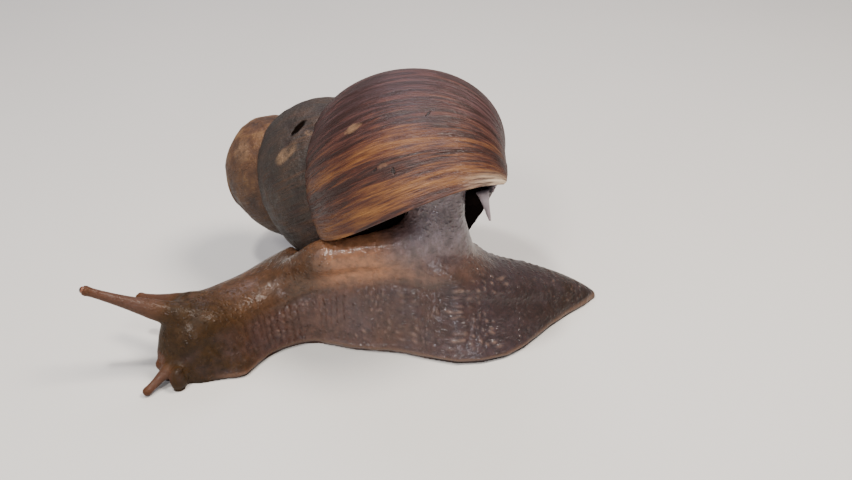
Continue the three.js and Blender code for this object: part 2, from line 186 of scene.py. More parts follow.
def linear(text):
    """An sRGB hex colour as linear red, green and blue."""
    shares = (int(text[i : i + 2], 16) / 255 for i in (1, 3, 5))
    return tuple(s / 12.92 if s <= 0.04045 else ((s + 0.055) / 1.055) ** 2.4 for s in shares)


def rgba(colour):
    """A colour socket's value from a colour property or a hex text."""
    return (*(linear(colour) if isinstance(colour, str) else tuple(colour)[:3]), 1.0)


def smooth_step(low, high, values):
    share = np.clip((values - low) / (high - low), 0, 1)
    return share * share * (3 - 2 * share)


def colour_prop(name, text, says):
    return bpy.props.FloatVectorProperty(
        name=name, description=says, subtype="COLOR", size=3, min=0, max=1, default=linear(text)
    )


def length_prop(name, millimetres, says):
    return bpy.props.FloatProperty(
        name=name, description=says, unit="LENGTH", precision=5, default=millimetres * MM
    )


# ---------------------------------------------------------------- sizes and colours
class ShellSizes(bpy.types.PropertyGroup):
    """Sizes and colours of the shell."""

    reach: length_prop("Reach", 110, "From the vanished apex to the far end of the lip")
    wall: length_prop("Wall", 0.8, "Thickness of the lip")
    ridge: length_prop("Ridge height", 0.2, "Height of the growth ridges")
    swell: length_prop("Rest marks", 0.3, "Height of the broad swellings left by pauses in growth")
    dark: colour_prop("Dark streak", "#27130e", "Dark growth streaks")
    russet: colour_prop("Russet streak", "#422116", "Reddish growth streaks")
    gold: colour_prop("Golden streak", "#613c1d", "Golden growth streaks")
    tan: colour_prop("Tan streak", "#82582d", "Palest growth streaks")
    # the lilac is partly the worn horny skin's own tint, partly a painted sheen on the upper whorl
    lilac_sheen: colour_prop("Lilac bloom", "#55393b", "Bloom on the upper whorl")
    cream: colour_prop("Cream lip", "#c9b59a", "Newest growth at the base of the lip")
    eroded: colour_prop("Eroded grey", "#28241e", "Worn surface of the older whorls")


class SkinSizes(bpy.types.PropertyGroup):
    """Sizes and colours of the soft body."""

    grain: length_prop("Grain", 0.362, "Edge length of the skin's faces")
    tubercle: length_prop("Tubercle height", 0.42, "Height of the bumps on the foot's side")
    bead: length_prop("Tubercle radius", 0.46, "Radius of a bump on the foot's side")
    column: length_prop("Column spacing", 1.9, "Distance between the upright columns of bumps")
    row: length_prop("Tubercle spacing", 1.6, "Distance between bumps up a column")
    # the head, neck, rear side and tail are coloured darker partly as painted shade, and the back
    # paler partly as painted light, over the body's own browns
    head: colour_prop("Head", "#2f1f0e", "Face and the front of the head")
    neck: colour_prop("Neck", "#482f1c", "Top of the neck")
    back: colour_prop("Back", "#875b3d", "Top of the back")
    side: colour_prop("Side", "#472f25", "Side of the foot")
    rear: colour_prop("Rear side", "#322322", "Side of the foot towards the tail")
    tail: colour_prop("Tail", "#261811", "Tail")
    # paler than the grooves, partly as painted light on the bumps' tops
    crest: colour_prop("Crests", "#786155", "Tops of the bumps")
    stretched: colour_prop("Stretched", "#605254", "Stretched part under the shell")
    rim: colour_prop("Margin", "#5a4335", "Thin margin of the foot")
    tip: colour_prop("Feeler tip", "#60381e", "Ends of the feelers")


class StudioSizes(bpy.types.PropertyGroup):
    """Camera, floor and lights."""

    camera_at: bpy.props.FloatVectorProperty(
        name="Camera place",
        description="Where the camera stands",
        subtype="TRANSLATION",
        unit="LENGTH",
        size=3,
        default=(0.0055, -0.2376, 0.15862),
    )
    camera_pitch: bpy.props.FloatProperty(
        name="Camera pitch",
        description="Turn of the camera up from straight down",
        subtype="ANGLE",
        default=math.radians(60),
    )
    lens: bpy.props.FloatProperty(
        name="Lens", description="Focal length on a 36 mm wide sensor, in millimetres", default=52.82
    )
    floor_half: length_prop("Floor half width", 2500, "Half the width of the floor")
    floor_colour: colour_prop("Floor", "#cfcdc8", "Plain pale floor")


# ---------------------------------------------------------------- small helpers
def feed(tree, node, inputs):
    """Link or set the sockets of one node."""
    for socket, value in dict(inputs).items():
        if isinstance(value, bpy.types.NodeSocket):
            tree.links.new(value, node.inputs[socket])
        else:
            node.inputs[socket].default_value = value


def put(tree, kind, inputs=(), stops=(), **settings):
    """One node with its settings, its socket values or links, and any colour stops."""
    node = tree.nodes.new(kind)
    for key, value in settings.items():
        setattr(node, key, value)
    feed(tree, node, inputs)
    for index, (place, colour) in enumerate(stops):
        elements = node.color_ramp.elements
        element = elements[index] if index < 2 else elements.new(place)
        element.position = place
        element.color = rgba(colour)
    return node


def new_material(name):
    """An empty material with its output and shader, and the tree to add nodes to."""
    material = bpy.data.materials.new(name)
    material.use_nodes = True
    tree = material.node_tree
    tree.nodes.clear()
    shader = put(tree, "ShaderNodeBsdfPrincipled")
    put(tree, "ShaderNodeOutputMaterial", {"Surface": shader.outputs[0]})
    return material, tree, shader


def show(name, bm, material, nodes):
    """Finish a mesh as a named piece that rides on the body and stands for its solids."""
    mesh = bpy.data.meshes.new(name)
    bm.to_mesh(mesh)
    bm.free()
    mesh.shade_smooth()
    mesh.materials.append(material)
    piece = bpy.data.objects.new(name, mesh)
    bpy.context.scene.collection.objects.link(piece)
    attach(piece, "root")
    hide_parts(*nodes)
    return piece


def remeshed(bm, grain):
    """The same volume as one even skin of small four-sided faces."""
    mesh = bpy.data.meshes.new("draft")
    bm.to_mesh(mesh)
    bm.free()
    draft = bpy.data.objects.new("draft", mesh)
    bpy.context.scene.collection.objects.link(draft)
    modifier = draft.modifiers.new("even", "REMESH")
    modifier.mode = "VOXEL"
    modifier.voxel_size = grain
    done = draft.evaluated_get(bpy.context.evaluated_depsgraph_get())
    result = bmesh.new()
    result.from_mesh(done.to_mesh())
    done.to_mesh_clear()
    bpy.data.objects.remove(draft)
    bpy.data.meshes.remove(mesh)
    result.verts.ensure_lookup_table()
    return result


def solid_copy(names, grow):
    """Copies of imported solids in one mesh, merged and each let out by a small amount."""
    bm = bmesh.new()
    for name in names:
        part = bmesh.new()
        part.from_mesh(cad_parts[name].data)
        bmesh.ops.remove_doubles(part, verts=part.verts, dist=1e-6)
        part.normal_update()
        moves = [v.normal * (grow * min(v.calc_shell_factor(), 1.8)) for v in part.verts]
        for vert, move in zip(part.verts, moves):
            vert.co += move
        mesh = bpy.data.meshes.new("copy")
        part.to_mesh(mesh)
        part.free()
        bm.from_mesh(mesh)
        bpy.data.meshes.remove(mesh)
    return bm


def places_of(bm):
    return np.array([v.co for v in bm.verts])


def normals_of(bm):
    bm.normal_update()
    return np.array([v.normal for v in bm.verts])


def move_to(bm, places):
    for vert, place in zip(bm.verts, places):
        vert.co = place


def relaxed(places, pairs, amount, rounds):
    """Points drawn towards their neighbours' mean, by a share that may differ by point."""
    ends = np.concatenate((pairs[:, 0], pairs[:, 1]))
    others = np.concatenate((pairs[:, 1], pairs[:, 0]))
    count = len(places)
    valence = np.maximum(np.bincount(ends, minlength=count), 1)
    for _ in range(rounds):
        mean = np.stack(
            [np.bincount(ends, places[others, k], minlength=count) / valence for k in range(3)], 1
        )
        places = places + amount[:, None] * (mean - places)
    return places


def store(bm, name, *columns):
    """Keep up to three values at every point for the material to read."""
    values = np.zeros((len(bm.verts), 3))
    values[:, : len(columns)] = np.stack(columns, 1)
    layer = bm.verts.layers.float_vector.new(name)
    for vert, value in zip(bm.verts, values):
        vert[layer] = value


# ---------------------------------------------------------------- the shell
def shell_axes():
    """The shell's axis, and the way to the lip and the way the coil grows, square to it."""
    axis = np.array(
        (
            math.cos(AXIS_PITCH) * math.cos(AXIS_YAW),
            math.cos(AXIS_PITCH) * math.sin(AXIS_YAW),
            math.sin(AXIS_PITCH),
        )
    )
    above = np.array((0, 0, 1.0)) - axis * axis[2]
    above /= np.linalg.norm(above)
    beside = np.cross(axis, above)
    lip_way = above * math.cos(LIP_ROLL) + beside * math.sin(LIP_ROLL)
    return axis, lip_way, np.cross(axis, lip_way)


def whorl_points(turn, around, grow, reach):
    """Points on the coil, in millimetres: turn round the axis, around the tube."""
    axis, lip_way, coil_way = shell_axes()
    scale = GROWTH_PER_TURN ** (turn / TURN)
    thicker = grow / (reach * scale)
    across = (WHORL_HALF_WIDTH + thicker) * np.cos(around) * (1 + WHORL_SHOULDER * np.sin(around))
    along = (WHORL_HALF_LENGTH + thicker) * np.sin(around)
    cos_tilt, sin_tilt = math.cos(WHORL_TILT), math.sin(WHORL_TILT)
    outward = np.maximum(WHORL_RADIUS + across * cos_tilt - along * sin_tilt, AXIS_CLEARANCE)
    distance = WHORL_DISTANCE + across * sin_tilt + along * cos_tilt
    bounded = np.where(around > math.pi, around - TURN, around)
    slant = (bounded - SUTURE_ANGLE) / (math.pi / 2 - SUTURE_ANGLE)
    angle = turn - LIP_SLANT * np.clip(slant, 0, 1.25)
    size = (reach * scale)[..., None]
    return APEX + size * (
        (outward * np.cos(angle))[..., None] * lip_way
        + (outward * np.sin(angle))[..., None] * coil_way
        + distance[..., None] * axis
    )


def notch_turns(around, reach):
    """The newest turn the lip reaches at each angle round the tube, short of the notch."""
    turns = np.linspace(-NOTCH_REACH, 0, 91)
    grid_turn, grid_around = np.meshgrid(turns * TURN, around, indexing="ij")
    points = whorl_points(grid_turn, grid_around, np.zeros_like(grid_turn), reach)
    inside = np.linalg.norm(points - LIP_NOTCH_AT, axis=-1) < LIP_NOTCH_RADIUS
    first = np.where(inside.any(0), inside.argmax(0), len(turns) - 1)
    limit = turns[first]
    for _ in range(3):
        limit = np.minimum(limit, np.convolve(np.pad(limit, 1, "wrap"), (0.25, 0.5, 0.25), "valid"))
    return limit


def under_dome(points, turn, reach):
    """Points beyond the worn, rounded tip drawn in to it, older growth a little deeper."""
    axis = shell_axes()[0]
    offset = points - APEX
    share = offset @ axis / reach
    radial = offset - (share * reach)[..., None] * axis
    radius = np.linalg.norm(radial, axis=-1) / reach
    angle = np.arctan2(radius, DOME_HEART - share)
    outline = np.array(DOME_OUTLINE)
    outline_angle = np.arctan2(outline[:, 1], DOME_HEART - outline[:, 0])
    outline_reach = np.hypot(outline[:, 1], DOME_HEART - outline[:, 0])
    even = np.linspace(0, math.pi / 2, 181)
    curve = np.interp(even, outline_angle, outline_reach)
    window = np.hanning(27)
    curve = np.convolve(np.pad(curve, 13, "edge"), window / window.sum(), "valid")
    inset = np.clip(-turn / TURN - 2, 0, 2) * 0.25 / reach
    limit = np.interp(angle, even, curve) - inset
    found = np.hypot(radius, DOME_HEART - share)
    pull = np.where((found > limit) & (share < DOME_HEART), limit / np.maximum(found, 1e-9), 1.0)
    heart = APEX + axis * DOME_HEART * reach
    return heart + (points - heart) * pull[..., None]


def wavy(values, spacing, seed):
    """A smooth seeded wave between -1 and 1 with one swing in about each spacing."""
    steps = values / spacing
    low = np.floor(steps).astype(int)
    share = steps - low
    share = share * share * (3 - 2 * share)
    samples = np.random.default_rng(seed).uniform(-1, 1, 4096)
    return samples[low % 4096] * (1 - share) + samples[(low + 1) % 4096] * share


def mouth_shade(points):
    """How much painted shade each point gets behind the lip, from 0 outside to 1 on the inner wall."""
    shade = np.zeros(len(points))
    for start, end in np.array(MOUTH_SHADE, float):
        way = end - start
        share = np.clip((points - start) @ way / (way @ way), 0, 1)
        gap = np.linalg.norm(points - start - share[:, None] * way, axis=1)
        shade = np.maximum(shade, 1 - smooth_step(SHADE_CORE, SHADE_EDGE, gap))
    return shade


def shell_mesh(sizes):
    """A grid wound into the coil, over the lip and back down the inside of the mouth."""
    reach = sizes.reach / MM
    wall = sizes.wall / MM
    outer, rim, inner = ((1150, 8, 30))
    around_count = 76
    turns = np.concatenate(
        (
            np.linspace(OLDEST_TURN, 0, outer),
            np.zeros(rim),
            np.linspace(0, DEEPEST_TURN, inner),
        )
    )
    bend = np.linspace(0, math.pi, rim + 2)[1:-1]
    grow = np.concatenate((np.zeros(outer), -wall / 2 * (1 - np.cos(bend)), np.full(inner, -wall)))
    ahead = np.concatenate((np.zeros(outer), wall / 2 * np.sin(bend), np.zeros(inner)))
    bm = bmesh.new()
    rings = len(turns)
    bmesh.ops.create_grid(bm, x_segments=rings - 1, y_segments=around_count, size=1)
    flat = places_of(bm)
    ring = np.rint((flat[:, 0] + 1) / 2 * (rings - 1)).astype(int)
    step = np.rint((flat[:, 1] + 1) / 2 * around_count).astype(int)
    crowd = np.concatenate(((0,), np.cumsum(np.diff(TUBE_ANGLES) * TUBE_DENSITY)))
    angles = np.interp(np.linspace(0, crowd[-1], around_count + 1), crowd, TUBE_ANGLES)
    around = angles[step]
    limit = notch_turns(angles, reach)[step]
    turn = turns[ring]
    newest = np.clip(1 + turn / NOTCH_REACH, 0, 1)
    turn = turn + limit * newest**2
    base = whorl_points(turn * TURN + ahead[ring] / LIP_RUN, around, grow[ring], reach)
    table = np.zeros((rings, around_count + 1, 3))
    table[ring, step] = base
    along = np.gradient(table, axis=0)
    across = np.gradient(table, axis=1)
    normal = np.cross(along, across)
    normal /= np.maximum(np.linalg.norm(normal, axis=-1, keepdims=True), 1e-9)
    normal = normal[ring, step]
    middle = table[:, :-1].mean(1)[ring]
    if np.mean(((base - middle) * normal).sum(1)[ring < outer]) < 0:
        normal = -normal
    outside = (ring < outer) * 1.0
    arc = turn * TURN_RUN * GROWTH_PER_TURN ** np.clip(turn, -4, 0)
    base_fade = 1 - 0.75 * smooth_step(1.0, 1.6, around)
    lines = (
        0.55 * wavy(arc + 900 + 0.5 * wavy(around + 9, 0.35, 2), 1.1, 21)
        + 0.3 * wavy(arc + 900, 0.55, 22) * (0.5 + 0.5 * wavy(around + 20, 0.8, 23))
        + 0.35 * wavy(arc + 900, 2.6, 24)
    )
    swell = wavy(arc + 900 + wavy(around + 9, 0.9, 26), 7.5, 25)
    old = smooth_step(-0.5, -0.85, turn)
    worn_depth = np.array([noise.fractal(Vector(p) * 0.35, 1.0, 2.1, 4) for p in base])
    lift = outside * (
        sizes.ridge / MM * lines * base_fade * (1 - 0.55 * old)
        + sizes.swell / MM * swell * base_fade * 0.6 * (1 - 0.5 * old)
        + 0.14 * old * worn_depth
    )
    points = under_dome(base + lift[:, None] * normal, turn * TURN, reach)
    move_to(bm, points * MM)
    lining = (1 - outside) * smooth_step(-0.005, -0.03, turn)
    store(bm, "coil", turn, around, lining)
    store(bm, "shade", mouth_shade(points))
    bmesh.ops.remove_doubles(bm, verts=bm.verts, dist=1e-7)
    ends = [e for e in bm.edges if e.is_boundary]
    bmesh.ops.holes_fill(bm, edges=ends, sides=around_count + 2)
    bmesh.ops.recalc_face_normals(bm, faces=bm.faces)
    return bm


def add_pillar(bm, reach):
    """The pillar that the coil winds round, turned on the shell's axis, and its pointed end."""
    axis, lip_way, _ = shell_axes()
    # the shell's own points are known; the others are new until they get their values
    known = bm.verts.layers.int.new("known")
    coil = bm.verts.layers.float_vector["coil"]
    shade = bm.verts.layers.float_vector["shade"]
    for vert in bm.verts:
        vert[known] = 1
    chain = [
        bm.verts.new(Vector((APEX + axis * s * reach + lip_way * r * reach) * MM))
        for s, r in PILLAR_OUTLINE
    ]
    edges = [bm.edges.new(pair) for pair in zip(chain, chain[1:])]
    bmesh.ops.spin(
        bm,
        geom=chain + edges,
        cent=Vector(APEX * MM),
        axis=Vector(axis),
        angle=TURN,
        steps=40,
        use_merge=True,
    )
    turned = [v for v in bm.verts if not v[known]]
    bmesh.ops.remove_doubles(bm, verts=turned, dist=1e-6)
    # the pillar deep in the mouth is painted fully in shade
    for vert in [v for v in bm.verts if not v[known]]:
        vert[coil] = (-0.03, 1.9, 0.85)
        vert[shade] = (1, 0, 0)
        vert[known] = 1
    length = (SPIKE_TO - SPIKE_FROM).length
    way = (SPIKE_TO - SPIKE_FROM).normalized()
    turn = Vector((0, 0, 1)).rotation_difference(way)
    made = bmesh.ops.create_cone(
        bm,
        segments=20,
        radius1=SPIKE_RADIUS * MM,
        radius2=SPIKE_TIP_RADIUS * MM,
        depth=length * MM,
        cap_ends=True,
        matrix=Matrix.LocRotScale((SPIKE_FROM + SPIKE_TO) * 0.5 * MM, turn, None),
    )
    rungs = [e for v in made["verts"] for e in v.link_edges]
    rungs = [e for e in set(rungs) if e.calc_length() > 3 * MM]
    bmesh.ops.subdivide_edges(bm, edges=rungs, cuts=10)
    # the spike's root fades into painted shade, its point stays pale
    for vert in [v for v in bm.verts if not v[known]]:
        vert[coil] = (-0.03, 1.9, 1.0)
        share = min(max((vert.co / MM - SPIKE_FROM).dot(way) / length, 0), 1)
        centre = SPIKE_FROM + way * (share * length)
        waist = 1 - 0.22 * math.sin(math.pi * share)
        vert.co = (centre + (vert.co / MM - centre) * waist) * MM
        vert[shade] = (max(0.6 - 2.0 * share, 0), 0, 0)
    bm.verts.layers.int.remove(known)


def shell_material(sizes):
    """Snail shell: aragonite under a thin horny skin laid down in growth lines.
    The horny skin gives a soft gloss, the lines give streaks, and wear leaves chalky grey."""
    material, tree, shader = new_material("aragonite_shell_grown")
    place = put(tree, "ShaderNodeTexCoord").outputs["Object"]
    coil, shade = (
        put(tree, "ShaderNodeAttribute", attribute_name=name).outputs["Vector"]
        for name in ("coil", "shade")
    )
    turn, around, inside = put(tree, "ShaderNodeSeparateXYZ", {0: coil}).outputs
    shade = put(tree, "ShaderNodeSeparateXYZ", {0: shade}).outputs[0]
    ragged, cloud, grain = (
        put(
            tree,
            "ShaderNodeTexNoise",
            {"Vector": place, "Scale": 1 / (width * MM), "Detail": detail, "Roughness": rough},
        )
        for width, detail, rough in ((1.9, 3.0, 0.65), (5.0, 5.0, 0.65), (0.8, 3.0, 0.6))
    )
    cloud = cloud.outputs["Fac"]

    # the coil laid out flat in millimetres of the last whorl, frayed for the marks' borders
    laid_out = put(
        tree, "ShaderNodeVectorMath", {0: coil, 1: (TURN_RUN, TUBE_RUN, 0)}, operation="MULTIPLY"
    )
    frayed = put(
        tree,
        "ShaderNodeVectorMath",
        {0: ragged.outputs["Color"], 1: (FRAY, FRAY, 0), 2: laid_out.outputs[0]},
        operation="MULTIPLY_ADD",
    )
    shares = {}
    for kind, at_turn, at_around, half_length, half_width, tilt in MARKS:
        scale = GROWTH_PER_TURN**at_turn
        oval = put(
            tree,
            "ShaderNodeMapping",
            {
                "Vector": frayed.outputs[0],
                "Location": (TURN_RUN * at_turn + FRAY / 2, TUBE_RUN * at_around + FRAY / 2, 0),
                "Rotation": (0, 0, tilt),
                "Scale": (half_length / scale, half_width / scale, 1),
            },
            vector_type="TEXTURE",
        )
        away = put(tree, "ShaderNodeVectorMath", {0: oval.outputs[0]}, operation="LENGTH")
        share = put(
            tree, "ShaderNodeMapRange", {0: away.outputs["Value"], 1: 1.2, 2: 0.8, 3: 0.0, 4: 1.0}
        )
        shares[kind] = put(
            tree,
            "ShaderNodeMath",
            {0: share.outputs[0], 1: shares.get(kind, 0.0)},
            operation="MAXIMUM",
        ).outputs[0]

    # streaks: width in millimetres, swings round the tube, detail and weight
    streaks, tone = {}, 0.0
    for name, width, swings, detail, weight in (
        ("band", 6.0, 0.6, 2.0, 0.85),
        ("streak", 1.15, 1.7, 4.0, 1.2),
        ("hair", 0.42, 3.2, 2.0, 0.65),
    ):
        drawn = put(
            tree, "ShaderNodeMapping", {"Vector": coil, "Scale": (TURN_RUN / width, swings, 0)}
        )
        streaks[name] = put(
            tree,
            "ShaderNodeTexNoise",
            {"Vector": drawn.outputs[0], "Scale": 1.0, "Detail": detail, "Roughness": 0.68},
        ).outputs["Fac"]
        tone = put(
            tree,
            "ShaderNodeMath",
            {0: streaks[name], 1: weight, 2: tone},
            operation="MULTIPLY_ADD",
        ).outputs[0]

    # shares: what each follows, from and to where, its values there, and how it runs
    for name, source, start, end, least, most, way in (
        ("zone", turn, -0.30, 0.0, 0.0, 1.0, "LINEAR"),
        ("upper", turn, -0.07, -0.19, 0.0, 1.0, "SMOOTHSTEP"),
        ("outer", around, 0.5, 1.2, 0.45, 1.0, "SMOOTHSTEP"),
        ("bloom_and_sheen", streaks["streak"], 0.44, 0.60, 0.0, 0.85, "LINEAR"),
        ("base", around, 0.95, 1.6, 0.0, 1.0, "SMOOTHSTEP"),
        ("newest", turn, -0.032, -0.008, 0.0, 1.0, "SMOOTHSTEP"),
        ("cream", streaks["streak"], 0.40, 0.58, 0.1, 1.0, "LINEAR"),
        ("old", turn, -0.45, -0.75, 0.0, 1.0, "SMOOTHSTEP"),
        ("tip", turn, -1.7, -2.2, 0.0, 0.75, "SMOOTHSTEP"),
        ("chalk", cloud, 0.38, 0.60, 0.1, 0.75, "LINEAR"),
        ("rough", streaks["streak"], 0.3, 0.7, 0.32, 0.60, "LINEAR"),
    ):
        shares[name] = put(
            tree,
            "ShaderNodeMapRange",
            {0: source, 1: start, 2: end, 3: least, 4: most},
            interpolation_type=way,
        ).outputs[0]
    for name, factor in (
        ("bloom_and_sheen", "upper"),
        ("bloom_and_sheen", "outer"),
        ("cream", "base"),
        ("cream", "newest"),
        ("chalk", "pale"),
    ):
        shares[name] = put(
            tree, "ShaderNodeMath", {0: shares[name], 1: shares[factor]}, operation="MULTIPLY"
        ).outputs[0]

    zone = put(
        tree,
        "ShaderNodeValToRGB",
        {0: shares["zone"]},
        stops=(
            (0.0, "#8c8c8c"),
            (0.25, "#6c6c6c"),
            (0.45, "#6a6a6a"),
            (0.60, "#868686"),
            (0.74, "#cccccc"),
            (0.81, "#7a7a7a"),
            (0.87, "#b0b0b0"),
            (0.95, "#e0e0e0"),
            (1.0, "#c0c0c0"),
        ),
    )
    zoned = put(
        tree,
        "ShaderNodeMath",
        {0: zone.outputs[0], 1: 0.55, 2: tone},
        operation="MULTIPLY_ADD",
    )
    tone = put(tree, "ShaderNodeMapRange", {0: zoned.outputs[0], 1: 1.26, 2: 2.10, 3: 0.0, 4: 1.0})
    streaked, worn, tip_colour, nacre = (
        put(tree, "ShaderNodeValToRGB", {0: source}, stops=stops).outputs[0]
        for source, stops in (
            (
                tone.outputs[0],
                (
                    (0.0, sizes.dark),
                    (0.22, sizes.dark),
                    (0.42, sizes.russet),
                    (0.66, sizes.gold),
                    (0.95, sizes.tan),
                ),
            ),
            (
                cloud,
                ((0.32, "#1c1613"), (0.48, sizes.eroded), (0.62, "#342a21"), (0.78, "#4c3a2b")),
            ),
            (cloud, ((0.34, "#3a2417"), (0.5, "#5e3c22"), (0.68, "#86633c"))),
            (cloud, ((0.35, "#7c6f72"), (0.65, "#a89ca0"))),
        )
    )
    worn = put(tree, "ShaderNodeMix", {0: 0.28, 6: worn, 7: streaked}, data_type="RGBA").outputs[2]
    colour = streaked
    for share, over in (
        # on the upper, outer whorl: partly the skin's own lilac tint, partly a painted sheen
        (shares["bloom_and_sheen"], rgba(sizes.lilac_sheen)),
        (shares["cream"], rgba(sizes.cream)),
        (shares["old"], worn),
        (shares["tip"], tip_colour),
        (shares["chalk"], rgba("#7f6348")),
        # painted shade: the chipped hole is near black and the small pits dark, standing in for the
        # shade inside them
        (shares["hole"], rgba("#0e0907")),
        (shares["pit"], rgba("#1c100c")),
        (inside, nacre),
        # painted shade in near black behind the lip, on the pillar and at the spike's root
        (shade, rgba("#120c0b")),
    ):
        colour = put(
            tree, "ShaderNodeMix", {0: share, 6: colour, 7: over}, data_type="RGBA"
        ).outputs[2]

    rough = put(
        tree,
        "ShaderNodeMath",
        {0: shares["old"], 1: 0.16, 2: shares["rough"]},
        operation="MULTIPLY_ADD",
    )
    crumbled = put(tree, "ShaderNodeMath", {0: cloud, 1: shares["old"]}, operation="MULTIPLY")
    relief = streaks["streak"]
    for source, height in (
        (streaks["hair"], 0.8),
        (crumbled.outputs[0], 4.0),
        (shares["hole"], -1.5),
        (shares["pit"], -0.6),
    ):
        relief = put(
            tree, "ShaderNodeMath", {0: source, 1: height, 2: relief}, operation="MULTIPLY_ADD"
        ).outputs[0]
    bumped = {}
    for height, depth, strength in ((relief, 0.4, 1.0), (grain.outputs["Fac"], 0.12, 0.5)):
        bump = put(
            tree,
            "ShaderNodeBump",
            {"Height": height, "Distance": depth * MM, "Strength": strength, **bumped},
        )
        bumped = {"Normal": bump.outputs[0]}
    # nothing shines in the dark behind the lip or in the hole
    dull = put(tree, "ShaderNodeMath", {0: shade, 1: shares["hole"]}, operation="MAXIMUM")
    shine = put(tree, "ShaderNodeMapRange", {0: dull.outputs[0], 1: 0.0, 2: 1.0, 3: 0.5, 4: 0.0})
    feed(
        tree,
        shader,
        {
            "Base Color": colour,
            "Specular IOR Level": shine.outputs[0],
            "Roughness": rough.outputs[0],
            "IOR": 1.42,
            **bumped,
        },
    )
    return material


class SNAIL_OT_shell(bpy.types.Operator):
    """Build the coiled shell with its growth ridges, worn tip and pillar"""

    bl_idname = "snail.shell"
    bl_label = "Shell"

    def execute(self, context):
        sizes = context.scene.snail_shell
        bm = shell_mesh(sizes)
        add_pillar(bm, sizes.reach / MM)
        show("shell_grown", bm, shell_material(sizes), ["shell"])
        return {"FINISHED"}


# ---------------------------------------------------------------- the skin
def body_measure(places):
    """For each point in millimetres: distance run along the body from the head, offset to
    the near side, and the height and half widths of the body there. Nearer stretches of the
    line count for more, so that nothing jumps at a bend."""
    at = BODY_PLACES[:, :2]
    runs = np.concatenate(((0,), np.cumsum(np.linalg.norm(np.diff(at, axis=0), axis=1))))
    total = np.zeros(len(places))
    found = np.zeros((len(places), 5))
    for index in range(len(at) - 1):
        way = at[index + 1] - at[index]
        length = np.linalg.norm(way)
        way = way / length
        away = places[:, :2] - at[index]
        share = np.clip(away @ way / length, 0, 1)
        gap = away - (share * length)[:, None] * way
        distance = np.linalg.norm(gap, axis=1)
        side = np.where(gap @ np.array((way[1], -way[0])) < 0, -distance, distance)
        rest = BODY_PLACES[index, 2:] + share[:, None] * np.diff(BODY_PLACES[:, 2:], axis=0)[index]
        weight = np.exp(-distance / BEND_SOFTNESS)
        total += weight
        here = np.column_stack((runs[index] + share * length, side, rest))
        found += weight[:, None] * here
    run, offset, near_half, far_half, height = (found / total[:, None]).T
    return run, offset, height, near_half, far_half


def feeler_measure(places):
    """Nearness to any feeler's line, from 0 to 1, and the share of the way to its tip."""
    near, share_out = np.zeros(len(places)), np.zeros(len(places))
    for root, tip in FEELERS.values():
        root, tip = np.array(root), np.array(tip)
        way = tip - root
        share = np.clip((places - root) @ way / (way @ way), 0, 1.2)
        gap = np.linalg.norm(places - root - share[:, None] * way, axis=1)
        here = (1 - smooth_step(2.2, 3.4, gap)) * smooth_step(0.12, 0.34, share)
        better = here > near
        near[better] = here[better]
        share_out[better] = share[better]
    return near, share_out


def column_beads(run, climb, sizes, seed):
    """Rounded bumps in uneven upright columns, a little drawn out aslant, from 0 to 1."""
    column, row, radius = sizes.column / MM, sizes.row / MM, sizes.bead / MM
    chance = np.random.default_rng(seed).uniform(-0.5, 0.5, (4, 256, 256))
    first = np.floor(run / column).astype(int)
    raised = np.zeros(len(run))
    for beside in (-1, 0, 1):
        place = (first + beside) % 256
        phase = chance[0, place, 0]
        lowest = np.floor(climb / row - phase).astype(int)
        for above in (0, 1):
            bead = (lowest + above) % 256
            x = run - (first + beside + 0.5 + 0.6 * chance[1, place, bead]) * column
            y = climb - (lowest + above + phase + 0.5 * chance[2, place, bead]) * row
            reach = radius * (1 + 0.5 * chance[0, place, bead])
            gap = np.hypot((x - y) / (1.3 * reach), (x + y) / (0.85 * reach)) / math.sqrt(2)
            raised = np.maximum(raised, (0.7 + 0.6 * chance[3, place, bead]) * np.exp(-(gap**2)))
    return raised


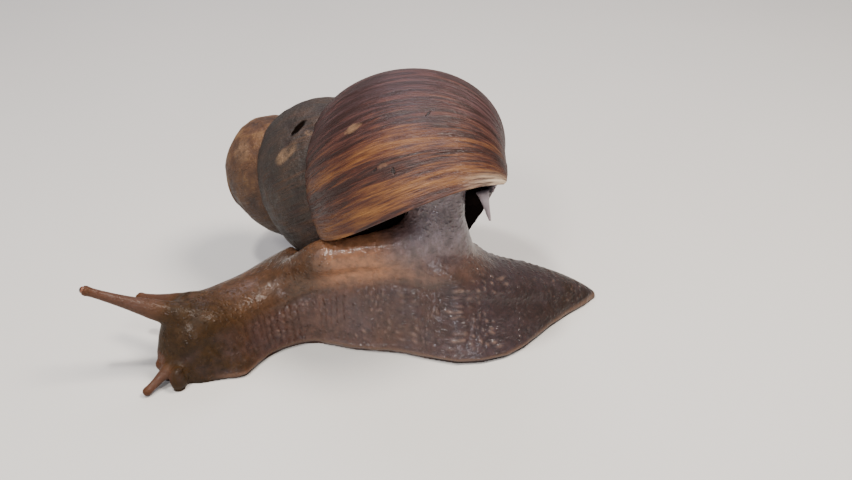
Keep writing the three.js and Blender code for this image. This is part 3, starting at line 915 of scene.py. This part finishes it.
def skin_mesh(sizes):
    """One skin over every soft solid: joined, evened, relaxed, then raised into bumps."""
    bm = solid_copy(FLESH_NODES, LET_OUT * MM)
    grain = sizes.grain * 1.0
    bm = remeshed(bm, grain)
    places = places_of(bm) / MM
    pairs = np.array([[v.index for v in e.verts] for e in bm.edges])
    feeler, feeler_share = feeler_measure(places)
    stalk = smooth_step(STALK_FOOT, STALK_TOP, places[:, 2]) * smooth_step(-8, 6, places[:, 0])
    thin = smooth_step(3.4, 1.6, places[:, 2])
    amount = 0.5 * (1 - 0.85 * np.maximum(feeler, thin))
    rounds = int(RELAX_ROUNDS * (RELAX_GRAIN / (grain / MM)) ** 2)
    places = relaxed(places, pairs, amount, rounds)
    places[:, 2] = np.maximum(places[:, 2], 0)
    meeting = np.linalg.norm((places - SHOULDER_START) * (0.7, 1, 1), axis=1)
    places = relaxed(places, pairs, 0.6 * (1 - smooth_step(5, 11, meeting)), 6 * rounds)
    move_to(bm, places * MM)
    normal = normals_of(bm)

    run, offset, height, near_half, far_half = body_measure(places)
    level = places[:, 2] / height
    half = np.where(offset > 0, near_half, far_half)
    climb = 0.8 * places[:, 2] + 0.6 * (half - np.abs(offset))
    # noise vectors start from the clock unless they are seeded
    noise.seed_set(SKIN_SEED)
    warp = np.array([noise.noise_vector(Vector(p) * 0.22) for p in places])
    sway = np.array([noise.noise_vector(Vector(p) * 0.08) for p in places])
    # the side's bumps reach up to the crease, and over the whole back towards the tail
    top = 0.62 + 0.05 * sway[:, 0] + 0.7 * smooth_step(66, 88, run)
    side = (1 - smooth_step(-0.10, 0.12, level - top)) * (1 - 0.8 * stalk)
    beads = column_beads(run + 0.9 * warp[:, 0] + sway[:, 1], climb + 0.7 * warp[:, 1] + 40, sizes, 31)
    patchy = 0.35 + 0.65 * smooth_step(-0.3, 0.3, warp[:, 2] + sway[:, 2])
    beads *= patchy * (0.25 + 0.75 * smooth_step(6, 36, run)) * (1 - 0.5 * smooth_step(72, 90, run))
    ribs = np.cos(TURN * (run + 0.9 * warp[:, 0] + sway[:, 1]) / (sizes.column / MM))
    low = smooth_step(1.4, 3.2, places[:, 2])
    crease = np.exp(-(((level - top) / 0.05) ** 2)) * smooth_step(18, 34, run)
    crease *= (1 - smooth_step(62, 76, run)) * (1 - stalk) * (0.75 + 0.5 * sway[:, 2])
    fringe = (1 - smooth_step(1.1, 2.0, places[:, 2])) * smooth_step(4, 9, run)
    fringe *= normal[:, 2] > -0.6
    mouth = (1 - smooth_step(3.5, 7, run)) * (1 - smooth_step(5.5, 8, places[:, 2]))
    pleats = np.cos(TURN * (places[:, 0] - 0.6 * places[:, 1] + warp[:, 0]) / 0.95)
    ribs *= 0.07 * (1 - 0.8 * smooth_step(62, 80, run))
    lift = (
        side * low * (sizes.tubercle / MM * beads - ribs)
        + 0.05 * warp[:, 1]
        + 0.3 * sway[:, 1] * (1 - side)
        - 0.45 * crease
        + 0.35 * warp[:, 0] * (1 - low)
        + 0.06 * mouth * pleats
        - 0.2
    )
    lift = np.where(normal[:, 2] < -0.85, 0, lift)
    lift *= 1 - 0.8 * feeler
    places = places + lift[:, None] * normal
    places[:, 2] = np.maximum(places[:, 2], 0)
    move_to(bm, places * MM)
    store(bm, "zones", side, stalk, fringe)
    store(bm, "relief", beads * side * low, crease)
    store(bm, "feelers", feeler, feeler_share)
    store(bm, "straight", run, places[:, 2], offset)
    return bm


def skin_material(sizes):
    """Living snail skin: soft, wet with slime and full of blood spaces just under it.
    Slime gives sharp small highlights over a dull bumpy surface that light sinks into."""
    material, tree, shader = new_material("snail_skin_wet")
    place = put(tree, "ShaderNodeTexCoord").outputs["Object"]
    zones, relief, feelers, laid = (
        put(tree, "ShaderNodeAttribute", attribute_name=name).outputs["Vector"]
        for name in ("zones", "relief", "feelers", "straight")
    )
    side, stalk, fringe = put(tree, "ShaderNodeSeparateXYZ", {0: zones}).outputs
    crest, crease, _ = put(tree, "ShaderNodeSeparateXYZ", {0: relief}).outputs
    feeler, out, _ = put(tree, "ShaderNodeSeparateXYZ", {0: feelers}).outputs
    run = put(tree, "ShaderNodeSeparateXYZ", {0: laid}).outputs[0]
    # the stretched part creases into threads that climb aslant into the shell
    drawn = put(
        tree,
        "ShaderNodeMapping",
        {
            "Vector": place,
            "Rotation": (0, 0.5, 0),
            "Scale": (1 / (1.5 * MM), 1 / (1.8 * MM), 1 / (2.8 * MM)),
        },
    ).outputs[0]
    cloud, mottle, fine, threads = (
        put(
            tree,
            "ShaderNodeTexNoise",
            {"Vector": source, "Scale": scale, "Detail": detail, "Roughness": rough},
        ).outputs["Fac"]
        for source, scale, detail, rough in (
            (place, 1 / (7 * MM), 5.0, 0.6),
            (place, 1 / (1.6 * MM), 3.0, 0.6),
            (place, 1 / (0.7 * MM), 3.0, 0.5),
            (drawn, 1.0, 3.0, 0.6),
        )
    )

    # shares: what each follows, from and to where, and its values there
    # the slime lies thickest from the neck's base to the rear of the foot
    shares = {}
    for name, source, start, end, least, most in (
        ("along", run, 0.0, BODY_RUN, -0.05, 0.95),
        ("purple", cloud, 0.42, 0.66, 0.0, 0.45),
        ("spot", crest, 0.15, 0.75, 0.0, 0.6),
        ("speck", mottle, 0.35, 0.65, 0.68, 1.22),
        ("wet", run, 16.0, 42.0, 0.08, 0.7),
        ("rear_wet", run, 66.0, 88.0, 1.0, 0.35),
        ("side_wet", side, 0.0, 1.0, 1.0, 0.7),
        ("shine", run, 8.0, 40.0, 0.2, 0.5),
    ):
        shares[name] = put(
            tree, "ShaderNodeMapRange", {0: source, 1: start, 2: end, 3: least, 4: most}
        ).outputs[0]
    for factor in ("rear_wet", "side_wet"):
        shares["wet"] = put(
            tree, "ShaderNodeMath", {0: shares["wet"], 1: shares[factor]}, operation="MULTIPLY"
        ).outputs[0]
    blurred = put(
        tree,
        "ShaderNodeMath",
        {0: cloud, 1: 0.1, 2: shares["along"]},
        operation="MULTIPLY_ADD",
    ).outputs[0]
    # along the body: darker at the head, neck, rear side and tail partly as painted shade, paler on
    # the back partly as painted light
    colour, flank, bloodless, feeler_tone = (
        put(tree, "ShaderNodeValToRGB", {0: source}, stops=stops).outputs[0]
        for source, stops in (
            (
                blurred,
                (
                    (0.07, sizes.head),
                    (0.22, sizes.neck),
                    (0.33, sizes.neck),
                    (0.43, sizes.back),
                    (0.52, sizes.back),
                    (0.60, "#5f4336"),
                    (0.72, "#4b352b"),
                    (0.86, sizes.tail),
                ),
            ),
            (
                blurred,
                (
                    (0.07, sizes.head),
                    (0.24, sizes.side),
                    (0.58, sizes.side),
                    (0.74, sizes.rear),
                    (0.90, sizes.tail),
                ),
            ),
            (threads, ((0.30, "#574a4c"), (0.5, sizes.stretched), (0.72, "#75676c"))),
            (out, ((0.2, sizes.neck), (0.5, "#4a3328"), (0.93, "#4e3427"), (0.985, "#492d1c"))),
        )
    )
    # the side's bump tops are paler, partly a painted highlight on them
    for share, over in ((shares["purple"], rgba("#3f3337")), (shares["spot"], rgba(sizes.crest))):
        flank = put(
            tree, "ShaderNodeMix", {0: share, 6: flank, 7: over}, data_type="RGBA"
        ).outputs[2]
    speck = put(tree, "ShaderNodeCombineXYZ", {index: shares["speck"] for index in range(3)})
    shadow = put(tree, "ShaderNodeMath", {0: crease, 1: 0.5}, operation="MULTIPLY")
    for share, over, blend in (
        (side, flank, "MIX"),
        (stalk, bloodless, "MIX"),
        (1.0, speck.outputs[0], "MULTIPLY"),
        (shadow.outputs[0], rgba("#33221b"), "MIX"),
        (fringe, rgba(sizes.rim), "MIX"),
        (feeler, feeler_tone, "MIX"),
    ):
        colour = put(
            tree,
            "ShaderNodeMix",
            {0: share, 6: colour, 7: over},
            data_type="RGBA",
            blend_type=blend,
        ).outputs[2]

    # small warts about a millimetre apart, on the body laid out straight
    spread = put(
        tree,
        "ShaderNodeMapping",
        {"Vector": laid, "Rotation": (0, 0, 0.6), "Scale": (1 / 1.3, 1 / 0.9, 1 / 1.0)},
    )
    wart = put(tree, "ShaderNodeTexVoronoi", {"Vector": spread.outputs[0], "Scale": 1.0}, feature="F1")
    dome = put(
        tree,
        "ShaderNodeMapRange",
        {0: wart.outputs["Distance"], 1: 0.45, 2: 0.05, 3: 0.0, 4: 1.0},
        interpolation_type="SMOOTHSTEP",
    )
    folds = put(tree, "ShaderNodeMath", {0: threads, 1: stalk}, operation="MULTIPLY")
    bumped = {}
    for height, depth, strength in (
        (dome.outputs[0], 0.13, 0.8),
        (fine, 0.17, 0.8),
        (folds.outputs[0], 0.55, 0.7),
    ):
        bump = put(
            tree,
            "ShaderNodeBump",
            {"Height": height, "Distance": depth * MM, "Strength": strength, **bumped},
        )
        bumped = {"Normal": bump.outputs[0]}
    feed(
        tree,
        shader,
        {
            "Base Color": colour,
            "Coat Normal": bumped["Normal"],
            "Coat Weight": shares["wet"],
            "Coat Roughness": 0.1,
            "Specular IOR Level": shares["shine"],
            "Roughness": 0.5,
            "IOR": 1.34,
            "Subsurface Weight": 0.2,
            "Subsurface Radius": BLOOD_DEPTHS,
            "Subsurface Scale": FLESH_DEPTH * MM,
            **bumped,
        },
    )
    return material


class SNAIL_OT_skin(bpy.types.Operator):
    """Build the one skin of the soft body, from the head to the tail and up into the shell"""

    bl_idname = "snail.skin"
    bl_label = "Skin"

    def execute(self, context):
        sizes = context.scene.snail_skin
        bm = skin_mesh(sizes)
        show("soft_body_skin", bm, skin_material(sizes), list(FLESH_NODES))
        return {"FINISHED"}


# ---------------------------------------------------------------- the mantle collar
def mantle_material():
    """Mantle collar: thick wet flesh that closes the mouth of the shell, dark partly in its own tone
    and partly as painted shade.
    It gives a dark glistening ring in the shadow behind the lip."""
    material, tree, shader = new_material("mantle_flesh_wet")
    place = put(tree, "ShaderNodeTexCoord").outputs["Object"]
    cloud = put(
        tree, "ShaderNodeTexNoise", {"Vector": place, "Scale": 1 / (2.5 * MM), "Detail": 4.0}
    ).outputs["Fac"]
    # dark flesh tones, partly painted shade behind the lip
    tone = put(
        tree,
        "ShaderNodeValToRGB",
        {0: cloud},
        stops=((0.3, "#2b201d"), (0.55, "#4b3a34"), (0.75, "#6a554b")),
    )
    bump = put(
        tree, "ShaderNodeBump", {"Height": cloud, "Distance": 0.25 * MM, "Strength": 0.7}
    )
    feed(
        tree,
        shader,
        {
            "Base Color": tone.outputs[0],
            "Normal": bump.outputs[0],
            "Roughness": 0.4,
            "IOR": 1.4,
            "Subsurface Weight": 0.15,
            "Subsurface Radius": BLOOD_DEPTHS,
            "Subsurface Scale": FLESH_DEPTH * MM,
            "Coat Weight": 0.5,
            "Coat Roughness": 0.2,
        },
    )
    return material


class SNAIL_OT_mantle(bpy.types.Operator):
    """Build the mantle collar that closes the mouth of the shell"""

    bl_idname = "snail.mantle"
    bl_label = "Mantle collar"

    def execute(self, context):
        bm = remeshed(solid_copy(["mantle_collar"], 0.0), 0.5 * MM)
        places = places_of(bm) / MM
        pairs = np.array([[v.index for v in e.verts] for e in bm.edges])
        places = relaxed(places, pairs, np.full(len(places), 0.5), 24)
        move_to(bm, places * MM)
        normal = normals_of(bm)
        folds = np.array([noise.fractal(Vector(p) * 0.3, 1.0, 2.0, 3) for p in places])
        places += (0.22 * np.clip(folds, -1, 1) - 0.12)[:, None] * normal
        move_to(bm, places * MM)
        show("mantle_collar_flesh", bm, mantle_material(), ["mantle_collar"])
        return {"FINISHED"}


# ---------------------------------------------------------------- the eyes
def eye_material(sizes):
    """Snail eye: a dark cup at the end of the feeler under clear wet skin.
    It gives a small glossy bulb, the colour of the feeler's tip round a dark end."""
    material, tree, shader = new_material("eye_bulb_wet")
    place = put(tree, "ShaderNodeTexCoord").outputs["Object"]
    pole = put(tree, "ShaderNodeAttribute", attribute_name="pole").outputs["Vector"]
    share = put(tree, "ShaderNodeSeparateXYZ", {0: pole}).outputs[0]
    cloud = put(
        tree, "ShaderNodeTexNoise", {"Vector": place, "Scale": 1 / (0.3 * MM), "Detail": 2.0}
    )
    edge = put(
        tree,
        "ShaderNodeMath",
        {0: cloud.outputs["Fac"], 1: 0.25, 2: share},
        operation="MULTIPLY_ADD",
    )
    tone = put(
        tree,
        "ShaderNodeValToRGB",
        {0: edge.outputs[0]},
        stops=((0.3, sizes.tip), (0.72, "#6a3618"), (0.92, "#1c120d")),
    )
    feed(
        tree,
        shader,
        {
            "Base Color": tone.outputs[0],
            "Roughness": 0.25,
            "IOR": 1.4,
            "Coat Weight": 0.8,
            "Coat Roughness": 0.08,
        },
    )
    return material


class SNAIL_OT_eyes(bpy.types.Operator):
    """Build the two eyes at the ends of the upper feelers"""

    bl_idname = "snail.eyes"
    bl_label = "Eyes"

    def execute(self, context):
        material = eye_material(context.scene.snail_skin)
        for side in ("left", "right"):
            low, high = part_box(f"{side}_eye")
            root, tip = FEELERS[side]
            way = (Vector(tip) - Vector(root)).normalized()
            turn = Vector((0, 0, 1)).rotation_difference(way)
            radius = 1.32 * max(high - low) / 2
            bm = bmesh.new()
            bmesh.ops.create_uvsphere(bm, u_segments=32, v_segments=20, radius=radius)
            shares = np.array([v.co.z / radius for v in bm.verts])
            store(bm, "pole", shares)
            for vert, share in zip(bm.verts, shares):
                collar = 1 + 0.06 * math.exp(-(((share + 0.35) / 0.3) ** 2))
                vert.co.x *= collar
                vert.co.y *= collar
                vert.co.z *= 0.9 if share > 0 else 1.15
            bmesh.ops.rotate(bm, verts=bm.verts, cent=(0, 0, 0), matrix=turn.to_matrix())
            bmesh.ops.translate(bm, verts=bm.verts, vec=(low + high) / 2 - way * 0.12 * MM)
            show(f"{side}_eye_bulb", bm, material, [f"{side}_eye"])
        return {"FINISHED"}


# ---------------------------------------------------------------- the studio
class SNAIL_OT_studio(bpy.types.Operator):
    """Set up the camera, a plain pale floor and soft lights"""

    bl_idname = "snail.studio"
    bl_label = "Studio"

    def execute(self, context):
        sizes = context.scene.snail_studio
        camera = bpy.data.objects.new("camera", bpy.data.cameras.new("camera"))
        context.scene.collection.objects.link(camera)
        camera.location = sizes.camera_at
        camera.rotation_euler = (sizes.camera_pitch, 0, 0)
        camera.data.lens = sizes.lens
        camera.data.sensor_width = 36
        camera.data.clip_start = 0.01
        context.scene.camera = camera

        material, tree, shader = new_material("floor_painted_board")
        place = put(tree, "ShaderNodeTexCoord").outputs["Object"]
        cloud = put(
            tree, "ShaderNodeTexNoise", {"Vector": place, "Scale": 1 / (60 * MM), "Detail": 2.0}
        )
        tone = put(
            tree,
            "ShaderNodeMix",
            {0: cloud.outputs["Fac"], 6: rgba("#cbc9c4"), 7: rgba(sizes.floor_colour)},
            data_type="RGBA",
        )
        feed(tree, shader, {"Base Color": tone.outputs[2], "Roughness": 0.7})
        bm = bmesh.new()
        bmesh.ops.create_grid(bm, x_segments=1, y_segments=1, size=sizes.floor_half)
        bmesh.ops.translate(bm, verts=bm.verts, vec=(0, 0, -0.02 * MM))
        mesh = bpy.data.meshes.new("floor")
        bm.to_mesh(mesh)
        bm.free()
        mesh.materials.append(material)
        floor = bpy.data.objects.new("floor", mesh)
        context.scene.collection.objects.link(floor)

        for name, at, size, power, colour in (
            ("key", (0.17, -0.02, 0.40), 0.16, 2.3, "#fff4ea"),
            ("crown", (-0.10, -0.10, 0.40), 0.04, 1.1, "#fffaf4"),
            ("front", (-0.10, -0.32, 0.34), 0.07, 1.1, "#fffaf6"),
            ("low", (0.08, -0.43, 0.16), 0.05, 0.38, "#f6f4ff"),
            ("back", (-0.06, 0.32, 0.36), 0.22, 0.7, "#e9e6fa"),
            ("fill", (-0.42, -0.38, 0.30), 0.50, 1.0, "#f4f3fb"),
        ):
            light = bpy.data.lights.new(name, "AREA")
            light.shape = "DISK"
            light.size = size
            light.energy = power
            light.color = linear(colour)
            lamp = bpy.data.objects.new(name, light)
            lamp.location = at
            aim = Vector((0, 0, 0.02)) - Vector(at)
            lamp.rotation_euler = aim.to_track_quat("-Z", "Y").to_euler()
            context.scene.collection.objects.link(lamp)

        world = bpy.data.worlds.new("soft_room")
        context.scene.world = world
        world.use_nodes = True
        backdrop = world.node_tree.nodes["Background"]
        backdrop.inputs["Color"].default_value = rgba("#dfe2e6")
        backdrop.inputs["Strength"].default_value = 0.30
        return {"FINISHED"}


class SNAIL_PT_panel(bpy.types.Panel):
    """Lists the snail's pieces and their sizes"""

    bl_label = "Snail"
    bl_idname = "SNAIL_PT_panel"
    bl_space_type = "VIEW_3D"
    bl_region_type = "UI"
    bl_category = "Snail"

    def draw(self, context):
        for operator, group in PIECES:
            self.layout.operator(operator)
            if group:
                sizes = getattr(context.scene, group)
                for key in sizes.__annotations__:
                    self.layout.prop(sizes, key)


PIECES = (
    ("snail.studio", "snail_studio"),
    ("snail.shell", "snail_shell"),
    ("snail.skin", "snail_skin"),
    ("snail.mantle", None),
    ("snail.eyes", None),
)
GROUPS = {
    "snail_shell": ShellSizes,
    "snail_skin": SkinSizes,
    "snail_studio": StudioSizes,
}
CLASSES = (
    ShellSizes,
    SkinSizes,
    StudioSizes,
    SNAIL_OT_studio,
    SNAIL_OT_shell,
    SNAIL_OT_skin,
    SNAIL_OT_mantle,
    SNAIL_OT_eyes,
    SNAIL_PT_panel,
)


def register():
    for made in CLASSES:
        bpy.utils.register_class(made)
    for name, group in GROUPS.items():
        setattr(bpy.types.Scene, name, bpy.props.PointerProperty(type=group))


def unregister():
    for name in GROUPS:
        delattr(bpy.types.Scene, name)
    for made in reversed(CLASSES):
        bpy.utils.unregister_class(made)


def main():
    register()
    bpy.ops.snail.studio()
    bpy.ops.snail.shell()
    bpy.ops.snail.skin()
    bpy.ops.snail.mantle()
    bpy.ops.snail.eyes()


if __name__ == "__main__":
    main()
